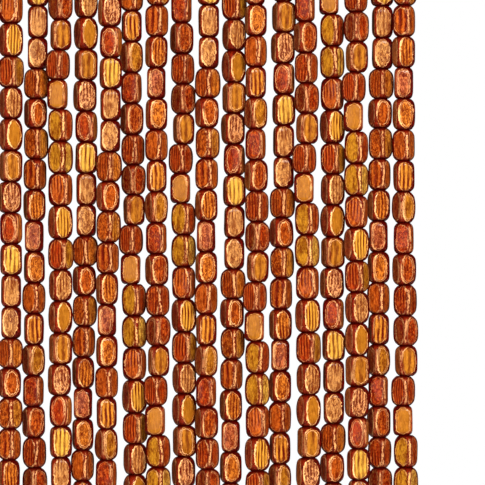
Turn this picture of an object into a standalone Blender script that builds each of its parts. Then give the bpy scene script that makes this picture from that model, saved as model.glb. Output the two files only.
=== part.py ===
"""Wooden bead curtain, a cut length: seventeen strands of square beads under a plain wooden heading.

Blender 4.5. The curtain hangs in the XZ plane with its front towards -Y. The origin is the middle of the
heading's top edge. Sizes in the tables are millimetres, and everything built from them is in metres.
"""

import math
from collections import namedtuple

import bmesh
import bpy
import numpy as np
from mathutils import Matrix, Vector

MM = 0.001

# Heading: a capping lath over a drilled slat that the strings hang from.
LATH_WIDTH = 204.0
LATH_DEPTH = 16.0
LATH_HEIGHT = 12.0
LATH_EDGE = 1.2
SLAT_WIDTH = 202.0
SLAT_DEPTH = 14.0
SLAT_HEIGHT = 3.5
PIECE_GAP = 0.3

# Strands: their holes in the slat form two staggered rows.
STRAND_PITCH = 11.1
ROW_OFFSET = 3.8
SIDES = 4
STRING_RADIUS = 1.1
KNOT_RADIUS = 2.0
KNOT_LENGTH = 3.4
TAIL_LENGTH = 3.0

# Beads: how the square section narrows towards its drilled ends.
EDGE_ROUND = 1.2
SECTION_SWELL = 1.04
SHOULDER_DROP = 2.4
NECK_RADIUS = 3.3

# The heights that the strands are laid out from, below the heading's top.
MIDDLE_Z = -180.0
FIRST_BEAD_Z = -18.0
LAST_BEAD_Z = -346.0
DRIFT_STATION = 96.0

# One row for each kind of bead, in the order in which every string carries them.
# length is along the string, face is the width across the flats, turn is in degrees about the string,
# and shift is how far the bead hangs to the side of it.
BeadKind = namedtuple("BeadKind", "length face turn shift")
BEAD_KINDS = (
    BeadKind(14.5, 8.7, -31, 0.2),
    BeadKind(14.5, 9.1, -14, 0.2),
    BeadKind(14.9, 9.1, 26, 0.2),
    BeadKind(14.0, 8.9, -27, 0.4),
    BeadKind(14.0, 8.7, 23, 0.3),
    BeadKind(14.4, 8.7, 28, 0.2),
    BeadKind(14.0, 8.9, 18, 0.3),
    BeadKind(14.0, 9.1, 17, -0.2),
    BeadKind(14.0, 8.6, -12, 0.4),
    BeadKind(14.0, 9.1, 11, 0.4),
    BeadKind(14.4, 8.6, 8, 0.4),
    BeadKind(14.0, 8.8, 3, 0.4),
    BeadKind(13.5, 8.7, -39, 0.0),
    BeadKind(13.3, 8.8, 22, -0.4),
    BeadKind(14.0, 8.3, -36, 0.0),
    BeadKind(14.0, 8.1, -27, -0.4),
    BeadKind(14.0, 8.6, 18, -0.6),
    BeadKind(14.0, 8.2, 1, -0.6),
    BeadKind(14.0, 8.7, 12, -0.5),
    BeadKind(14.0, 8.1, -28, -0.6),
    BeadKind(13.9, 8.3, 10, -0.5),
    BeadKind(14.0, 8.2, 31, -0.6),
    BeadKind(14.0, 8.0, -13, -0.6),
    BeadKind(14.0, 8.6, 23, -0.4),
    BeadKind(13.8, 8.2, -31, 0.0),
    BeadKind(13.5, 8.4, 42, 0.2),
    BeadKind(13.6, 8.4, 16, 0.4),
    BeadKind(13.4, 8.3, -35, -1.0),
    BeadKind(13.3, 8.6, -3, -1.2),
    BeadKind(14.4, 8.6, -27, 0.2),
)

# One row for each strand, left to right. kind is the number of the bead that spans the curtain's middle
# height, above is how far that bead's top lies over this height, and the drifts are how far the string
# hangs from below its hole, DRIFT_STATION above the middle height, at it, and DRIFT_STATION below it.
Strand = namedtuple("Strand", "kind above drift_high drift_middle drift_low")
STRANDS = (
    Strand(9, 13.3, -0.2, -0.2, -0.2),
    Strand(18, 9.7, 0.3, -0.4, -0.9),
    Strand(4, 1.6, 0.0, 0.0, 0.0),
    Strand(13, 2.9, 0.0, 0.0, -0.7),
    Strand(15, 14.0, 0.4, -0.3, -0.8),
    Strand(28, 7.9, -0.8, -0.6, 0.1),
    Strand(23, 8.8, -0.4, -0.4, -0.4),
    Strand(1, 3.4, -0.4, -0.2, 0.2),
    Strand(18, 9.7, 0.0, -0.2, -0.2),
    Strand(12, 2.0, 0.4, 0.4, -0.3),
    Strand(26, 9.3, -0.1, -0.1, -0.1),
    Strand(14, 11.1, 0.8, 0.3, -0.3),
    Strand(1, 3.4, -0.1, 0.1, 1.0),
    Strand(7, 2.5, 0.5, 0.7, 1.1),
    Strand(3, 6.5, 0.1, 0.1, 0.9),
    Strand(18, 9.7, 0.9, 0.0, 0.0),
    Strand(23, 8.8, -0.1, 0.0, 0.2),
)

LACQUERED_WOOD = (0.36, 0.08, 0.02, 1.0)
HEADING_WOOD = (0.22, 0.07, 0.025, 1.0)

Ring = namedtuple("Ring", "x y z radius turn")


def clear_scene():
    for obj in list(bpy.data.objects):
        bpy.data.objects.remove(obj, do_unlink=True)


def make_collection(name):
    collection = bpy.data.collections.new(name)
    bpy.context.scene.collection.children.link(collection)
    return collection


def make_material(name, colour, roughness):
    material = bpy.data.materials.new(name)
    material.use_nodes = True
    shader = material.node_tree.nodes["Principled BSDF"]
    shader.inputs["Base Color"].default_value = colour
    shader.inputs["Roughness"].default_value = roughness
    shader.inputs["Metallic"].default_value = 0.0
    return material


def make_object(name, shape, collection, material=None):
    """An object of the bmesh, which is in millimetres, with its mesh in metres."""
    bmesh.ops.scale(shape, vec=Vector((MM, MM, MM)), verts=shape.verts)
    bmesh.ops.recalc_face_normals(shape, faces=shape.faces)
    mesh = bpy.data.meshes.new(name)
    shape.to_mesh(mesh)
    shape.free()
    obj = bpy.data.objects.new(name, mesh)
    collection.objects.link(obj)
    if material:
        mesh.materials.append(material)
    return obj


def kind_of(number):
    """The bead kind of this number, counted from 1 and going round past the last."""
    return BEAD_KINDS[(number - 1) % len(BEAD_KINDS)]


def slat_bottom():
    return -LATH_HEIGHT - PIECE_GAP - SLAT_HEIGHT


def beads_of(strand):
    """The strand's beads from top to bottom, as pairs of a bead's top height and its kind."""
    number = strand.kind
    top = MIDDLE_Z + strand.above
    while top + kind_of(number - 1).length < FIRST_BEAD_Z:
        number -= 1
        top += kind_of(number).length
    beads = []
    while top - kind_of(number).length > LAST_BEAD_Z:
        beads.append((top, kind_of(number)))
        top -= kind_of(number).length
        number += 1
    return beads


def string_x(index, height):
    """Where the string of this strand hangs at this height."""
    strand = STRANDS[index]
    hole = (index - (len(STRANDS) - 1) / 2) * STRAND_PITCH
    heights = (
        MIDDLE_Z - DRIFT_STATION,
        MIDDLE_Z,
        MIDDLE_Z + DRIFT_STATION,
        slat_bottom(),
    )
    drifts = (strand.drift_low, strand.drift_middle, strand.drift_high, 0.0)
    return hole + float(np.interp(height, heights, drifts))


def string_y(index):
    return ROW_OFFSET if index % 2 else -ROW_OFFSET


def corner_radius(kind):
    """From the string to the rounded corner of the bead's square section."""
    half = kind.face / 2 - EDGE_ROUND
    return (half * math.sqrt(2) + EDGE_ROUND) * SECTION_SWELL


def nearest_turn(turn, other):
    """The same square section's turn that lies nearest to the other one."""
    quarter = 360 / SIDES
    return turn + quarter * round((other - turn) / quarter)


def strand_rings(index):
    """The square sections that a strand is lofted through, from inside the slat down to its knot's tail."""
    beads = beads_of(STRANDS[index])
    y = string_y(index)
    first_top, first = beads[0]
    turn = first.turn
    root_z = slat_bottom() + SLAT_HEIGHT / 2
    rings = [
        Ring(string_x(index, root_z), y, root_z, STRING_RADIUS, turn),
        Ring(string_x(index, first_top), y, first_top, STRING_RADIUS, turn),
    ]
    before = None
    for top, kind in beads:
        turn = nearest_turn(kind.turn, turn)
        bottom = top - kind.length
        x = string_x(index, (top + bottom) / 2) + kind.shift
        if before is None:
            neck = Ring(x, y, top - PIECE_GAP, NECK_RADIUS, turn)
        else:
            neck = Ring((x + before.x) / 2, y, top, NECK_RADIUS, (turn + before.turn) / 2)
        radius = corner_radius(kind)
        before = Ring(x, y, bottom + SHOULDER_DROP, radius, turn)
        rings += [neck, Ring(x, y, top - SHOULDER_DROP, radius, turn), before]
    end = bottom
    rings += [
        Ring(x, y, end, NECK_RADIUS, turn),
        Ring(x, y, end - PIECE_GAP, STRING_RADIUS, turn),
        Ring(x, y, end - KNOT_LENGTH / 2, KNOT_RADIUS, turn),
        Ring(x, y, end - KNOT_LENGTH, STRING_RADIUS, turn),
        Ring(x, y, end - KNOT_LENGTH - TAIL_LENGTH, STRING_RADIUS, turn),
    ]
    return rings


def ring_corners(ring):
    """The section's corners. With no turn, one flat of the square faces the front."""
    place = Matrix.Translation((ring.x, ring.y, ring.z)) @ Matrix.Rotation(
        math.radians(ring.turn + 180 / SIDES), 4, "Z"
    )
    return [
        place @ Matrix.Rotation(math.tau * side / SIDES, 4, "Z") @ Vector((ring.radius, 0, 0))
        for side in range(SIDES)
    ]


def add_strand(shape, rings):
    """Lofts the rings into the bmesh: a filled circle that is extruded from each section to the next."""
    start = bmesh.ops.create_circle(shape, cap_ends=True, radius=1.0, segments=SIDES)
    corners = start["verts"]
    edges = list({edge for vert in corners for edge in vert.link_edges})
    for ring_index, ring in enumerate(rings):
        if ring_index:
            grown = bmesh.ops.extrude_edge_only(shape, edges=edges)["geom"]
            edges = [item for item in grown if isinstance(item, bmesh.types.BMEdge)]
            edges = [edge for edge in edges if all(vert in grown for vert in edge.verts)]
            corners = matching_corners(corners, edges)
        for vert, place in zip(corners, ring_corners(ring)):
            vert.co = place
    bmesh.ops.contextual_create(shape, geom=edges)


def matching_corners(corners, edges):
    """The extruded ring's corners in the order of the ring that they grew from."""
    grown = {vert for edge in edges for vert in edge.verts}
    return [
        next(edge.other_vert(vert) for edge in vert.link_edges if edge.other_vert(vert) in grown)
        for vert in corners
    ]


def make_box(width, depth, height, top):
    shape = bmesh.new()
    bmesh.ops.create_cube(shape, size=1.0)
    bmesh.ops.scale(shape, vec=Vector((width, depth, height)), verts=shape.verts)
    bmesh.ops.translate(shape, vec=Vector((0, 0, top - height / 2)), verts=shape.verts)
    return shape


def add_bevel(obj, width):
    bevel = obj.modifiers.new("worn edges", "BEVEL")
    bevel.width = width * MM
    bevel.segments = 3
    bevel.limit_method = "ANGLE"


def build_lath(parts, material):
    lath = make_object(
        "heading_lath", make_box(LATH_WIDTH, LATH_DEPTH, LATH_HEIGHT, 0.0), parts, material
    )
    add_bevel(lath, LATH_EDGE)


def build_strands(parts, helpers, material):
    """The strands as one object, joined to the slat that they hang from."""
    shape = bmesh.new()
    for index in range(len(STRANDS)):
        add_strand(shape, strand_rings(index))
    strands = make_object("bead_strands", shape, parts, material)
    slat_top = -LATH_HEIGHT - PIECE_GAP
    slat = make_object("slat_form", make_box(SLAT_WIDTH, SLAT_DEPTH, SLAT_HEIGHT, slat_top), helpers)
    slat.hide_render = True
    slat.display_type = "WIRE"
    union = strands.modifiers.new("held in the slat", "BOOLEAN")
    union.operation = "UNION"
    union.solver = "EXACT"
    union.object = slat


def main():
    clear_scene()
    parts = make_collection("bead_curtain")
    helpers = make_collection("bead_curtain_helpers")
    build_lath(parts, make_material("heading wood", HEADING_WOOD, 0.5))
    build_strands(parts, helpers, make_material("lacquered bead wood", LACQUERED_WOOD, 0.35))


main()
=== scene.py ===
"""Looks of the wooden bead curtain: lacquered square beads on knotted strings, under a slat and a lath.

Tables and sizes are in millimetres, as in the part's source, and meshes are made in metres. The front of the
curtain faces -Y, and the strands hang down from the heading, whose top edge is at height 0.
"""

import math
from collections import namedtuple

import bmesh
import bpy
import numpy as np
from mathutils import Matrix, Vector


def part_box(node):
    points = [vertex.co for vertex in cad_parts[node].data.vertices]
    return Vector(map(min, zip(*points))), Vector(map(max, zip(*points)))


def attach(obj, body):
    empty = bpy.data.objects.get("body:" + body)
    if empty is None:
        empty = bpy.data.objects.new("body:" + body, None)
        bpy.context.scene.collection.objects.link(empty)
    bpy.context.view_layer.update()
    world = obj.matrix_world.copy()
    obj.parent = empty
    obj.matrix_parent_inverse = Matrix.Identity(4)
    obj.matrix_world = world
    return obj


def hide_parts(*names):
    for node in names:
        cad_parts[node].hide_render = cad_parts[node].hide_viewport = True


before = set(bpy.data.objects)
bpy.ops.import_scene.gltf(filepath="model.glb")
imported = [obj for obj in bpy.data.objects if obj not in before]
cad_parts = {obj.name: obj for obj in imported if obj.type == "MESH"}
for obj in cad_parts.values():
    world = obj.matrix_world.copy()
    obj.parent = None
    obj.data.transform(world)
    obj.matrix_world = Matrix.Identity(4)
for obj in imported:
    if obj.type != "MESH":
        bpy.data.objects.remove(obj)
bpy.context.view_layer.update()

MM = 0.001

# Strands, as the part's source lays them out: their pitch, how far the two rows stand before and behind the
# middle, the heights between which beads hang, and the knot and tail under the last bead.
STRAND_PITCH = 11.1
ROW_OFFSET = 3.8
MIDDLE_Z = -180.0
FIRST_BEAD_Z = -18.0
LAST_BEAD_Z = -346.0
DRIFT_STATION = 96.0
KNOT_LENGTH = 3.4
TAIL_LENGTH = 3.0

# The heading: a drilled slat and a capping lath, closed up to each other but for a hair's breadth.
SLAT_DEPTH = 14.0
SLAT_HEIGHT = 3.5
SLAT_ROUND = 0.5
LATH_ROUND = 1.2
ROUND_SEGMENTS = 3
SHARP_ANGLE = 32
CLOSE_GAP = 0.03
HOLE_RADIUS = 1.35
HOLE_SEGMENTS = 24

# Strings: cords of three plies. STRING_TOP is how far each ends below the slat's top, and IN_BORE how far its
# fine steps run into the first and the last bead. TAIL_IN_KNOT is how much of the tail the knot hides.
STRING_RADIUS = 0.95
STRING_COLUMNS = 12
STRING_TOP = 0.4
FINE_STEP = 0.45
IN_BORE = 1.5
PLIES = 3
PLY_DEPTH = 0.14
TWIST_LENGTH = 3.2
TAIL_SHARE = 0.9
TAIL_IN_KNOT = 0.6

# The knot: the radius of its pulled cord, the size of its loops, how wide, deep and high they are beside that
# size, and the share of a turn by which both ends run on.
KNOT_CORD = 0.62
KNOT_SIZE = 0.62
KNOT_WIDTH, KNOT_DEPTH, KNOT_HEIGHT = 0.42, 0.75, 0.5
KNOT_OVERLAP = 0.15
KNOT_STEPS = 60

# A direction that no string starts along, from which the columns round it are counted.
ASIDE = (0.31, 0.95, 0.05)

# One row for each kind of bead, in the order in which every string carries them.
# length is along the string, face is the width across the flats, turn is in degrees about the string,
# and shift is how far the bead hangs to the side of it.
BeadKind = namedtuple("BeadKind", "length face turn shift")
BEAD_KINDS = [BeadKind(*row) for row in (
    (14.5, 8.7, -31, 0.2),
    (14.5, 9.1, -14, 0.2),
    (14.9, 9.1, 26, 0.2),
    (14.0, 8.9, -27, 0.4),
    (14.0, 8.7, 23, 0.3),
    (14.4, 8.7, 28, 0.2),
    (14.0, 8.9, 18, 0.3),
    (14.0, 9.1, 17, -0.2),
    (14.0, 8.6, -12, 0.4),
    (14.0, 9.1, 11, 0.4),
    (14.4, 8.6, 8, 0.4),
    (14.0, 8.8, 3, 0.4),
    (13.5, 8.7, -39, 0.0),
    (13.3, 8.8, 22, -0.4),
    (14.0, 8.3, -36, 0.0),
    (14.0, 8.1, -27, -0.4),
    (14.0, 8.6, 18, -0.6),
    (14.0, 8.2, 1, -0.6),
    (14.0, 8.7, 12, -0.5),
    (14.0, 8.1, -28, -0.6),
    (13.9, 8.3, 10, -0.5),
    (14.0, 8.2, 31, -0.6),
    (14.0, 8.0, -13, -0.6),
    (14.0, 8.6, 23, -0.4),
    (13.8, 8.2, -31, 0.0),
    (13.5, 8.4, 42, 0.2),
    (13.6, 8.4, 16, 0.4),
    (13.4, 8.3, -35, -1.0),
    (13.3, 8.6, -3, -1.2),
    (14.4, 8.6, -27, 0.2),
)]

# One row for each strand, left to right. kind is the number of the bead that spans the curtain's middle
# height, above is how far that bead's top lies over this height, and the drifts are how far the string
# hangs from below its hole, DRIFT_STATION above the middle height, at it, and DRIFT_STATION below it.
Strand = namedtuple("Strand", "kind above drift_high drift_middle drift_low")
STRANDS = [Strand(*row) for row in (
    (9, 13.3, -0.2, -0.2, -0.2),
    (18, 9.7, 0.3, -0.4, -0.9),
    (4, 1.6, 0.0, 0.0, 0.0),
    (13, 2.9, 0.0, 0.0, -0.7),
    (15, 14.0, 0.4, -0.3, -0.8),
    (28, 7.9, -0.8, -0.6, 0.1),
    (23, 8.8, -0.4, -0.4, -0.4),
    (1, 3.4, -0.4, -0.2, 0.2),
    (18, 9.7, 0.0, -0.2, -0.2),
    (12, 2.0, 0.4, 0.4, -0.3),
    (26, 9.3, -0.1, -0.1, -0.1),
    (14, 11.1, 0.8, 0.3, -0.3),
    (1, 3.4, -0.1, 0.1, 1.0),
    (7, 2.5, 0.5, 0.7, 1.1),
    (3, 6.5, 0.1, 0.1, 0.9),
    (18, 9.7, 0.9, 0.0, 0.0),
    (23, 8.8, -0.1, 0.0, 0.2),
)]

# Display colours of the wood under the lacquer. maroon, umber and wine are given only to left faces that
# show, where their darkness is painted shade.
TONES = {
    "gold": (0.71, 0.52, 0.18),
    "olive": (0.64, 0.44, 0.10),
    "straw": (0.77, 0.61, 0.25),
    "honey": (0.61, 0.39, 0.10),
    "amber": (0.70, 0.45, 0.14),
    "orange": (0.71, 0.40, 0.12),
    "tan": (0.68, 0.48, 0.28),
    "pink": (0.75, 0.53, 0.37),
    "brown": (0.63, 0.28, 0.07),
    "russet": (0.61, 0.24, 0.05),
    "red": (0.57, 0.17, 0.03),
    "rose": (0.62, 0.32, 0.20),
    "maroon": (0.47, 0.15, 0.11),
    "umber": (0.55, 0.29, 0.15),
    "wine": (0.35, 0.05, 0.03),
}

# The faces that the front view hardly shows have one of these tones.
HIDDEN_TONES = ("russet", "brown", "red", "orange", "amber", "gold", "russet", "tan")

# One row for each kind of bead, in the same order. front and side are the tones of its foremost face and of
# the other one that shows; where that other face is the left one, its side tone is always a dark one, painted
# shade. oval is how full the faces' outlines are (2 is an ellipse, 5 nearly a rectangle), and clip is how
# wide their ends are where straight cuts run to them (1 leaves the outline whole).
# rim is how strongly the front face's edge is painted pale, a painted highlight, and ridge how strongly the
# foremost corner is. grooves is how many run down the front face, cut how deep they are and how dark they are
# painted as shade, reach how much of it they run down from the top, and crest how pale the wood is painted
# between them, a painted highlight. inset is how strongly a second pale line, a raised line with painted
# highlight, follows the face's edge, and speckle how mottled the face is.
BeadLook = namedtuple("BeadLook", "front side oval clip rim ridge grooves cut reach crest inset speckle")
BEAD_LOOKS = [BeadLook(*row) for row in (
    ("olive", "straw", 2.6, 1.0, 0.4, 1.0, 0, 0.0, 1.0, 0.0, 0.0, 0.3),
    ("brown", "russet", 2.4, 1.0, 0.7, 0.8, 4, 0.9, 0.6, 0.5, 0.0, 0.35),
    ("gold", "maroon", 2.1, 1.0, 1.0, 0.0, 4, 0.9, 1.0, 0.9, 0.0, 0.1),
    ("red", "olive", 3.0, 0.8, 0.5, 0.9, 4, 1.0, 0.75, 0.5, 0.0, 0.3),
    ("tan", "maroon", 3.4, 0.4, 1.0, 0.0, 4, 0.6, 1.0, 0.4, 0.0, 0.5),
    ("honey", "maroon", 2.1, 0.3, 1.0, 0.0, 0, 0.0, 1.0, 0.0, 0.0, 0.05),
    ("honey", "umber", 5.0, 1.0, 0.4, 0.2, 2, 0.5, 1.0, 0.8, 0.9, 0.2),
    ("pink", "umber", 2.6, 0.7, 0.9, 0.0, 4, 0.8, 0.55, 0.5, 0.0, 0.8),
    ("red", "orange", 2.4, 1.0, 0.7, 0.6, 0, 0.0, 1.0, 0.0, 0.5, 0.4),
    ("straw", "maroon", 4.0, 0.6, 0.9, 0.0, 3, 0.7, 1.0, 0.8, 0.0, 0.15),
    ("tan", "wine", 4.0, 0.7, 0.6, 0.0, 4, 0.7, 0.4, 0.2, 0.0, 0.3),
    ("tan", "wine", 3.2, 0.4, 1.0, 0.1, 0, 0.0, 1.0, 0.0, 0.2, 0.5),
    ("russet", "orange", 2.8, 1.0, 0.4, 1.0, 4, 0.7, 1.0, 0.3, 0.0, 0.5),
    ("brown", "maroon", 2.4, 0.7, 0.8, 0.0, 0, 0.0, 1.0, 0.0, 1.0, 0.5),
    ("brown", "amber", 3.0, 0.8, 0.5, 1.0, 0, 0.0, 1.0, 0.0, 0.0, 0.7),
    ("russet", "brown", 3.4, 0.8, 0.6, 1.0, 2, 0.8, 1.0, 0.6, 0.0, 0.6),
    ("orange", "umber", 2.8, 0.9, 0.9, 0.0, 4, 0.8, 1.0, 0.5, 0.0, 0.6),
    ("rose", "wine", 4.0, 0.7, 0.6, 0.1, 0, 0.0, 1.0, 0.0, 0.4, 0.6),
    ("orange", "umber", 2.8, 0.8, 0.9, 0.0, 0, 0.0, 1.0, 0.0, 0.6, 0.6),
    ("brown", "brown", 3.4, 0.9, 0.4, 1.0, 0, 0.0, 1.0, 0.0, 0.0, 0.3),
    ("amber", "maroon", 3.4, 0.8, 0.7, 0.0, 3, 1.0, 1.0, 0.7, 0.0, 0.3),
    ("honey", "wine", 2.6, 0.8, 0.9, 0.4, 0, 0.0, 1.0, 0.0, 0.6, 0.4),
    ("red", "russet", 4.0, 0.8, 0.4, 0.8, 0, 0.0, 1.0, 0.0, 0.0, 0.6),
    ("russet", "wine", 3.0, 0.7, 0.7, 0.1, 4, 0.4, 1.0, 0.3, 0.3, 0.7),
    ("red", "red", 3.4, 0.8, 0.5, 1.0, 4, 0.8, 1.0, 0.3, 0.0, 0.6),
    ("red", "wine", 3.0, 0.6, 0.6, 0.7, 0, 0.0, 1.0, 0.0, 0.3, 0.7),
    ("honey", "umber", 2.8, 0.8, 0.5, 0.5, 2, 0.5, 1.0, 0.6, 0.0, 0.2),
    ("red", "red", 3.0, 0.9, 0.5, 0.9, 5, 1.0, 1.0, 0.3, 0.0, 0.3),
    ("honey", "orange", 5.0, 0.8, 0.6, 0.2, 0, 0.0, 1.0, 0.0, 0.0, 0.0),
    ("olive", "red", 2.5, 1.0, 0.4, 1.0, 0, 0.0, 1.0, 0.0, 0.0, 0.3),
)]

# Bead meshes: columns round the string, rings along it, and columns and radius of the drilled bore.
COLUMNS = 56
RINGS = 19
BORE_COLUMNS = 14
BORE_RADIUS = 1.1
FACES = 4
FACE_ANGLE = math.tau / FACES

# The form of a bead. Heights along it run from -1 to 1, with 0 in its middle. It rounds over to END_RADIUS
# from END_START on, and later where its faces are fuller. Past TAPER_START the whole section narrows, down
# to NECK_SHARE of itself. A face's outline reaches up to FACE_END, straight cuts run to it from CLIP_START,
# and a CORNER_BAND lies between it and the corner. EDGE_SOFTNESS rounds the edge between face and band.
END_RADIUS = 4.2
END_START = 0.1
END_START_PER_OVAL = 0.09
NECK_SHARE = 0.70
TAPER_START = 0.62
TAPER_POWER = 0.6
FACE_END = 0.93
CLIP_START = 0.45
CORNER_BAND = 0.5
EDGE_SOFTNESS = 0.16

# A face is worked out within FACE_REACH of its middle, in radians, and its marks within MARK_REACH. Elsewhere
# it counts as FAR_OFF.
FACE_REACH = 1.2
MARK_REACH = 1.0
FAR_OFF = 99.0

# Grooves: their depth, the width that they share, how far they wander, and how softly a short one ends. The
# faces that hardly show have fewer than HIDDEN_GROOVES, cut between the two shares of HIDDEN_CUT.
GROOVE_DEPTH = 0.16
GROOVED_WIDTH = 5.9
GROOVE_WANDER = 0.18
GROOVE_BENDS = (0.25, 0.5)
GROOVE_FADE = 1.2
GROOVE_SIDES = (0.1, 0.9)
UNGROOVED_COUNT = 3
HIDDEN_GROOVES = 5
HIDDEN_CUT = (0.1, 0.8)

# Unevenness, as smooth fields of so many waves: about how wide their swells are and how much they add.
# They are drawn out along the bead by WAVE_ALONG, and ROUND_SCALE turns an angle round it into millimetres.
Swell = namedtuple("Swell", "size amount")
OUTLINE_SWELL = Swell(7.0, 0.08)
BAND_SWELL = Swell(6.0, 0.14)
FACE_SWELL = Swell(8.0, 0.14)
CUT_SWELL = Swell(5.0, 0.9)
RIM_SWELL = Swell(6.0, 1.6)
INSET_SWELL = Swell(8.0, 2.2)
CUT_LIMITS = (0.15, 1.6)
RIM_LIMITS = (0.35, 1.2)
INSET_LIMITS = (0.0, 1.3)
WAVES = 4
WAVE_SPREAD = (0.7, 1.5)
WAVE_ALONG = 0.5
ROUND_SCALE = 3.0

# What the mesh tells the material. Edge distances are kept within EDGE_LIMITS and distances from the ridge
# within RIDGE_LIMIT. GAP is where the bead's ends are painted dark, as painted shade between the beads, and
# OUTER_CORNER how far the dark side band, painted shade where the outlines fall, reaches beside the outer
# corners, with the widths of the band that it takes from the front face and from the others.
EDGE_LIMITS = (-2.0, 3.0)
LEAST_SLOPE = 0.25
RIDGE_LIMIT = 3.0
GAP = (0.81, 0.97)
OUTER_CORNER = (2.0, 3.2)
OUTER_BAND = 0.7
OUTER_BAND_SIDE = 1.3
RIM_FADE = (1.5, 3.0)
RIM_FADED_BY = 0.45
RIDGE_LEAN = 0.06
RIDGE_BEND = 0.04
RIDGE_BENDS = (1.5, 4.0)
RIDGE_ENDS = (0.65, 0.9)
RIDGE_SHIFT = 0.1
TONE_SPREAD = 0.06
HIDDEN_CREST = 0.3
HIDDEN_INSET = 0.2
HIDDEN_RIM = 0.3
HIDDEN_SPECKLE = 0.5

# Each bead is cut from its own place in the wood: one of so many columns of places, this far apart.
WOOD_COLUMNS = 41
WOOD_STEP_X = 17.0
WOOD_STEP_Y = 13.0
SEEDS_PER_STRAND = 100

Bead = namedtuple("Bead", "x y top kind look seed")


def display(colour):
    """The linear values of a display colour."""
    return tuple((c / 12.92 if c <= 0.04045 else ((c + 0.055) / 1.055) ** 2.4) for c in colour)


def slat_box():
    """The slat's lowest and highest corners: the strands' node is as wide and as high as its slat."""
    low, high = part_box("bead_strands")
    top = high.z / MM
    lowest = Vector((low.x / MM, -SLAT_DEPTH / 2, top - SLAT_HEIGHT))
    return lowest, Vector((high.x / MM, SLAT_DEPTH / 2, top))


SLAT_LOW, SLAT_HIGH = slat_box()


def kind_index(number):
    """The row of this bead in the tables. The kinds follow each other in a ring."""
    return (number - 1) % len(BEAD_KINDS)


def string_x(index, height):
    """Where the string of this strand hangs at this height."""
    strand = STRANDS[index]
    hole = (index - (len(STRANDS) - 1) / 2) * STRAND_PITCH
    heights = (MIDDLE_Z - DRIFT_STATION, MIDDLE_Z, MIDDLE_Z + DRIFT_STATION, SLAT_LOW.z)
    drifts = (strand.drift_low, strand.drift_middle, strand.drift_high, 0.0)
    return hole + float(np.interp(height, heights, drifts))


def string_y(index):
    """The strands hang in two rows, every other one before the middle."""
    return ROW_OFFSET if index % 2 else -ROW_OFFSET


def beads_of(index):
    """The beads of this strand, from top to bottom."""
    strand = STRANDS[index]
    number = strand.kind
    top = MIDDLE_Z + strand.above
    while top + BEAD_KINDS[kind_index(number - 1)].length < FIRST_BEAD_Z:
        number -= 1
        top += BEAD_KINDS[kind_index(number)].length
    beads = []
    while top - BEAD_KINDS[kind_index(number)].length > LAST_BEAD_Z:
        kind = BEAD_KINDS[kind_index(number)]
        x = string_x(index, top - kind.length / 2) + kind.shift
        seed = index * SEEDS_PER_STRAND + len(beads)
        beads.append(Bead(x, string_y(index), top, kind, BEAD_LOOKS[kind_index(number)], seed))
        top -= kind.length
        number += 1
    return beads


def smooth_step(values, low, high):
    """0 up to low and 1 from high on, with a soft rise between them."""
    t = np.clip((values - low) / (high - low), 0, 1)
    return t * t * (3 - 2 * t)


def wrapped(angle):
    """The angle between half a turn back and half a turn on."""
    return (angle + math.pi) % math.tau - math.pi


def waves(rng, u, v, swell):
    """A smooth uneven field: a few waves of random direction and about the same width."""
    field = np.zeros_like(u)
    for _ in range(WAVES):
        angle = rng.uniform(0, math.tau)
        length = swell.size * rng.uniform(*WAVE_SPREAD)
        across = (u * math.cos(angle) + WAVE_ALONG * v * math.sin(angle)) * math.tau / length
        field += np.sin(across + rng.uniform(0, math.tau))
    return field * swell.amount / WAVES


def face_marks(bead, face, u, v, rng):
    """The grooves of one face: how many cycles lie between its middle and a point, and how deep they are."""
    look = bead.look
    front = face == 0
    count = look.grooves if front else int(rng.integers(0, HIDDEN_GROOVES))
    cut = look.cut if front else rng.uniform(*HIDDEN_CUT)
    reach = look.reach if front else 1.0
    if count == 0:
        count = UNGROOVED_COUNT
        cut = 0.0
    spacing = GROOVED_WIDTH / count
    wander = GROOVE_WANDER * np.sin(v * rng.uniform(*GROOVE_BENDS) + rng.uniform(0, math.tau))
    cycles = (u + wander) / spacing + (0.5 if count % 2 == 0 else 0.0)
    strength = np.full_like(v, cut)
    if reach < 1:
        bottom = bead.kind.length * (0.5 - reach)
        strength = cut * smooth_step(v, bottom - GROOVE_FADE, bottom + GROOVE_FADE)
    return cycles, strength * np.clip(1 + waves(rng, u, v, CUT_SWELL), *CUT_LIMITS)


def groove_shape(cycles):
    """1 along the bottom of each groove and 0 on the ridges between them."""
    return smooth_step(-np.cos(cycles * math.tau), *GROOVE_SIDES)


def face_width(look, zeta):
    """The face's half-width at this height, from 1 in its middle to 0 at its ends."""
    height = np.clip(np.abs(zeta) / FACE_END, 0, 1)
    oval = np.sqrt(1 - height**look.oval)
    cuts = 1 - (1 - look.clip) * np.clip((height - CLIP_START) / (1 - CLIP_START), 0, 1)
    return np.minimum(oval, cuts)


def end_radius(look, half_face, zeta):
    """The bead's radius at this height, where it rounds over to its drilled ends."""
    start = END_START + END_START_PER_OVAL * look.oval
    height = np.clip((np.abs(zeta) - start) / (1 - start), 0, 1)
    largest = np.hypot(half_face, half_face - CORNER_BAND)
    return END_RADIUS + (largest - END_RADIUS) * np.sqrt(1 - height**2)


def end_taper(zeta):
    """How much of its full section the bead still has at this height: its ends are rounded down to a neck."""
    height = np.clip((np.abs(zeta) - TAPER_START) / (1 - TAPER_START), 0, 1)
    return NECK_SHARE + (1 - NECK_SHARE) * (1 - height**2) ** TAPER_POWER


def bead_grid(half_length):
    """Every mesh point's angle round the bead, height along it, and the same height in millimetres."""
    s = np.linspace(-1, 1, RINGS)
    closer_at_ends = 0.5 * s + 0.5 * np.sin(s * math.pi / 2)
    around = np.arange(COLUMNS) / COLUMNS * math.tau
    theta, zeta = np.meshgrid(around, closer_at_ends)
    return theta, zeta, zeta * half_length


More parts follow.
